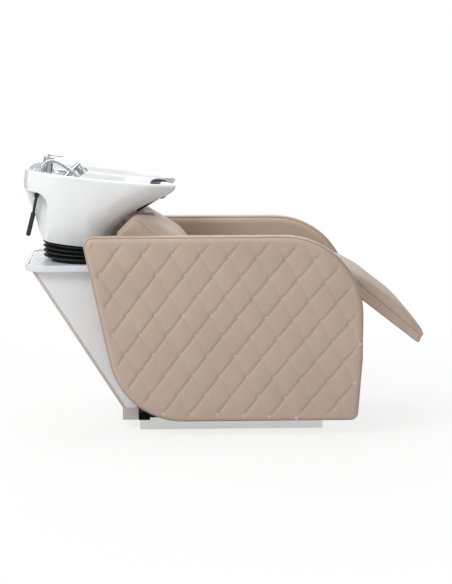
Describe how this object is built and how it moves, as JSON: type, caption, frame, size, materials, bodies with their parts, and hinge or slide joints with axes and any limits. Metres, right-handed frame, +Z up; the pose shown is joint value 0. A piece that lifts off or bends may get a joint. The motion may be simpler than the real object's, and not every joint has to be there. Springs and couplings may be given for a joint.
{
  "type": "backwash unit",
  "caption": "Reclining wash chair with quilted padded arms, hinged leg rest, and a tilting ceramic basin with mixer tap, handset and neck rest on a slanted column.",
  "frame": {"origin": "centre of the base board's underside, on the floor", "axes": "+X along the chair from the basin towards the leg rest, +Y across the chair, +Z up"},
  "size_m": [1.5477, 0.67, 1.0486],
  "materials": {
    "plywood": "raw plywood",
    "silver_strip": "satin silver strip",
    "black_steel": "black powder coat",
    "upholstery": "beige leathercloth, fine grain",
    "zinc_steel": "zinc-plated steel",
    "white_panel": "white laminated board, satin",
    "grey_panel": "warm grey laminated board, satin",
    "tray_plastic": "white moulded plastic",
    "black_rubber": "black rubber",
    "white_ceramic": "white glaze",
    "black_gel": "black silicone gel",
    "chrome": "bright chrome plate",
    "chrome_hose": "wound chrome strip",
    "grey_plastic": "grey spray face",
    "black_plastic": "black moulded plastic"
  },
  "bodies": {
    "chair": {"base_board": "plywood", "base_skirt": "silver_strip", "rear_cross_rail": "black_steel", "front_cross_rail": "black_steel", "side_rails": "black_steel", "seat_rails": "black_steel", "front_legs": "black_steel", "rear_legs": "black_steel", "back_uprights": "black_steel", "back_stays": "black_steel", "seat_front_bar": "black_steel", "seat_rear_bar": "black_steel", "seat_deck": "plywood", "seat_cushion": "upholstery", "back_cushion": "upholstery", "back_board": "plywood", "far_arm_outer_pad": "upholstery", "far_arm_inner_pad": "upholstery", "far_arm_core": "plywood", "far_arm_border": "upholstery", "near_arm_outer_pad": "upholstery", "near_arm_inner_pad": "upholstery", "near_arm_core": "plywood", "near_arm_border": "upholstery", "arm_bolts": "zinc_steel", "leg_hinge_plates": "black_steel", "leg_hinge_pins": "zinc_steel", "near_column_panel": "white_panel", "far_column_panel": "white_panel", "column_rear_panel": "grey_panel", "column_plinth": "grey_panel", "column_posts": "black_steel", "column_arms": "black_steel", "column_tray": "tray_plastic", "tilt_bracket": "black_steel", "tilt_pin": "zinc_steel", "bellows": "black_rubber"},
    "basin_unit": {"tilt_yoke": "black_steel", "basin": "white_ceramic", "neck_rest": "black_gel", "waste_strainer": "chrome", "waste_tube": "black_plastic", "mixer_body": "chrome", "mixer_nut": "zinc_steel", "hose_bush": "chrome", "shower_hose": "chrome_hose", "handset_holder": "chrome", "lever_bracket": "black_plastic", "lever_pin": "zinc_steel"},
    "tilt_lever": {"lever_rod": "black_plastic", "lever_grip": "black_plastic"},
    "tap_cap": {"mixer_cap": "chrome"},
    "tap_handle": {"mixer_handle": "chrome"},
    "handset": {"handset_body": "chrome", "handset_face": "grey_plastic", "hose_nut": "chrome"},
    "leg_rest": {"leg_rest_board": "upholstery", "leg_rest_cushion": "upholstery", "leg_rest_straps": "black_steel"}
  },
  "joints": [
    {"name": "basin_tilt", "type": "hinge", "parent": "chair", "child": "basin_unit", "pos_m": [-0.56, 0, 0.69], "axis": [0, -1, 0], "range_deg": [0, 16], "deforming": ["bellows"]},
    {"name": "lever_pull", "type": "hinge", "parent": "basin_unit", "child": "tilt_lever", "pos_m": [-0.74288, -0.102, 0.89869], "axis": [0, 1, 0], "range_deg": [0, 25], "stiffness_Nm_per_rad": 0.3},
    {"name": "tap_turn", "type": "hinge", "parent": "basin_unit", "child": "tap_cap", "pos_m": [-0.70669, 0, 0.9701], "axis": [0.1115, 0, 0.9938], "range_deg": [-40, 40]},
    {"name": "tap_lift", "type": "hinge", "parent": "tap_cap", "child": "tap_handle", "pos_m": [-0.69844, 0, 1.04364], "axis": [0, -1, 0], "range_deg": [0, 25]},
    {"name": "handset_lift", "type": "slide", "parent": "basin_unit", "child": "handset", "axis": [0.7593, 0, 0.6508], "range_m": [0, 0.08], "deforming": ["shower_hose"]},
    {"name": "leg_lift", "type": "hinge", "parent": "chair", "child": "leg_rest", "pos_m": [0.373, 0, 0.603], "axis": [0, -1, 0], "range_deg": [0, 37.9]}
  ]
}
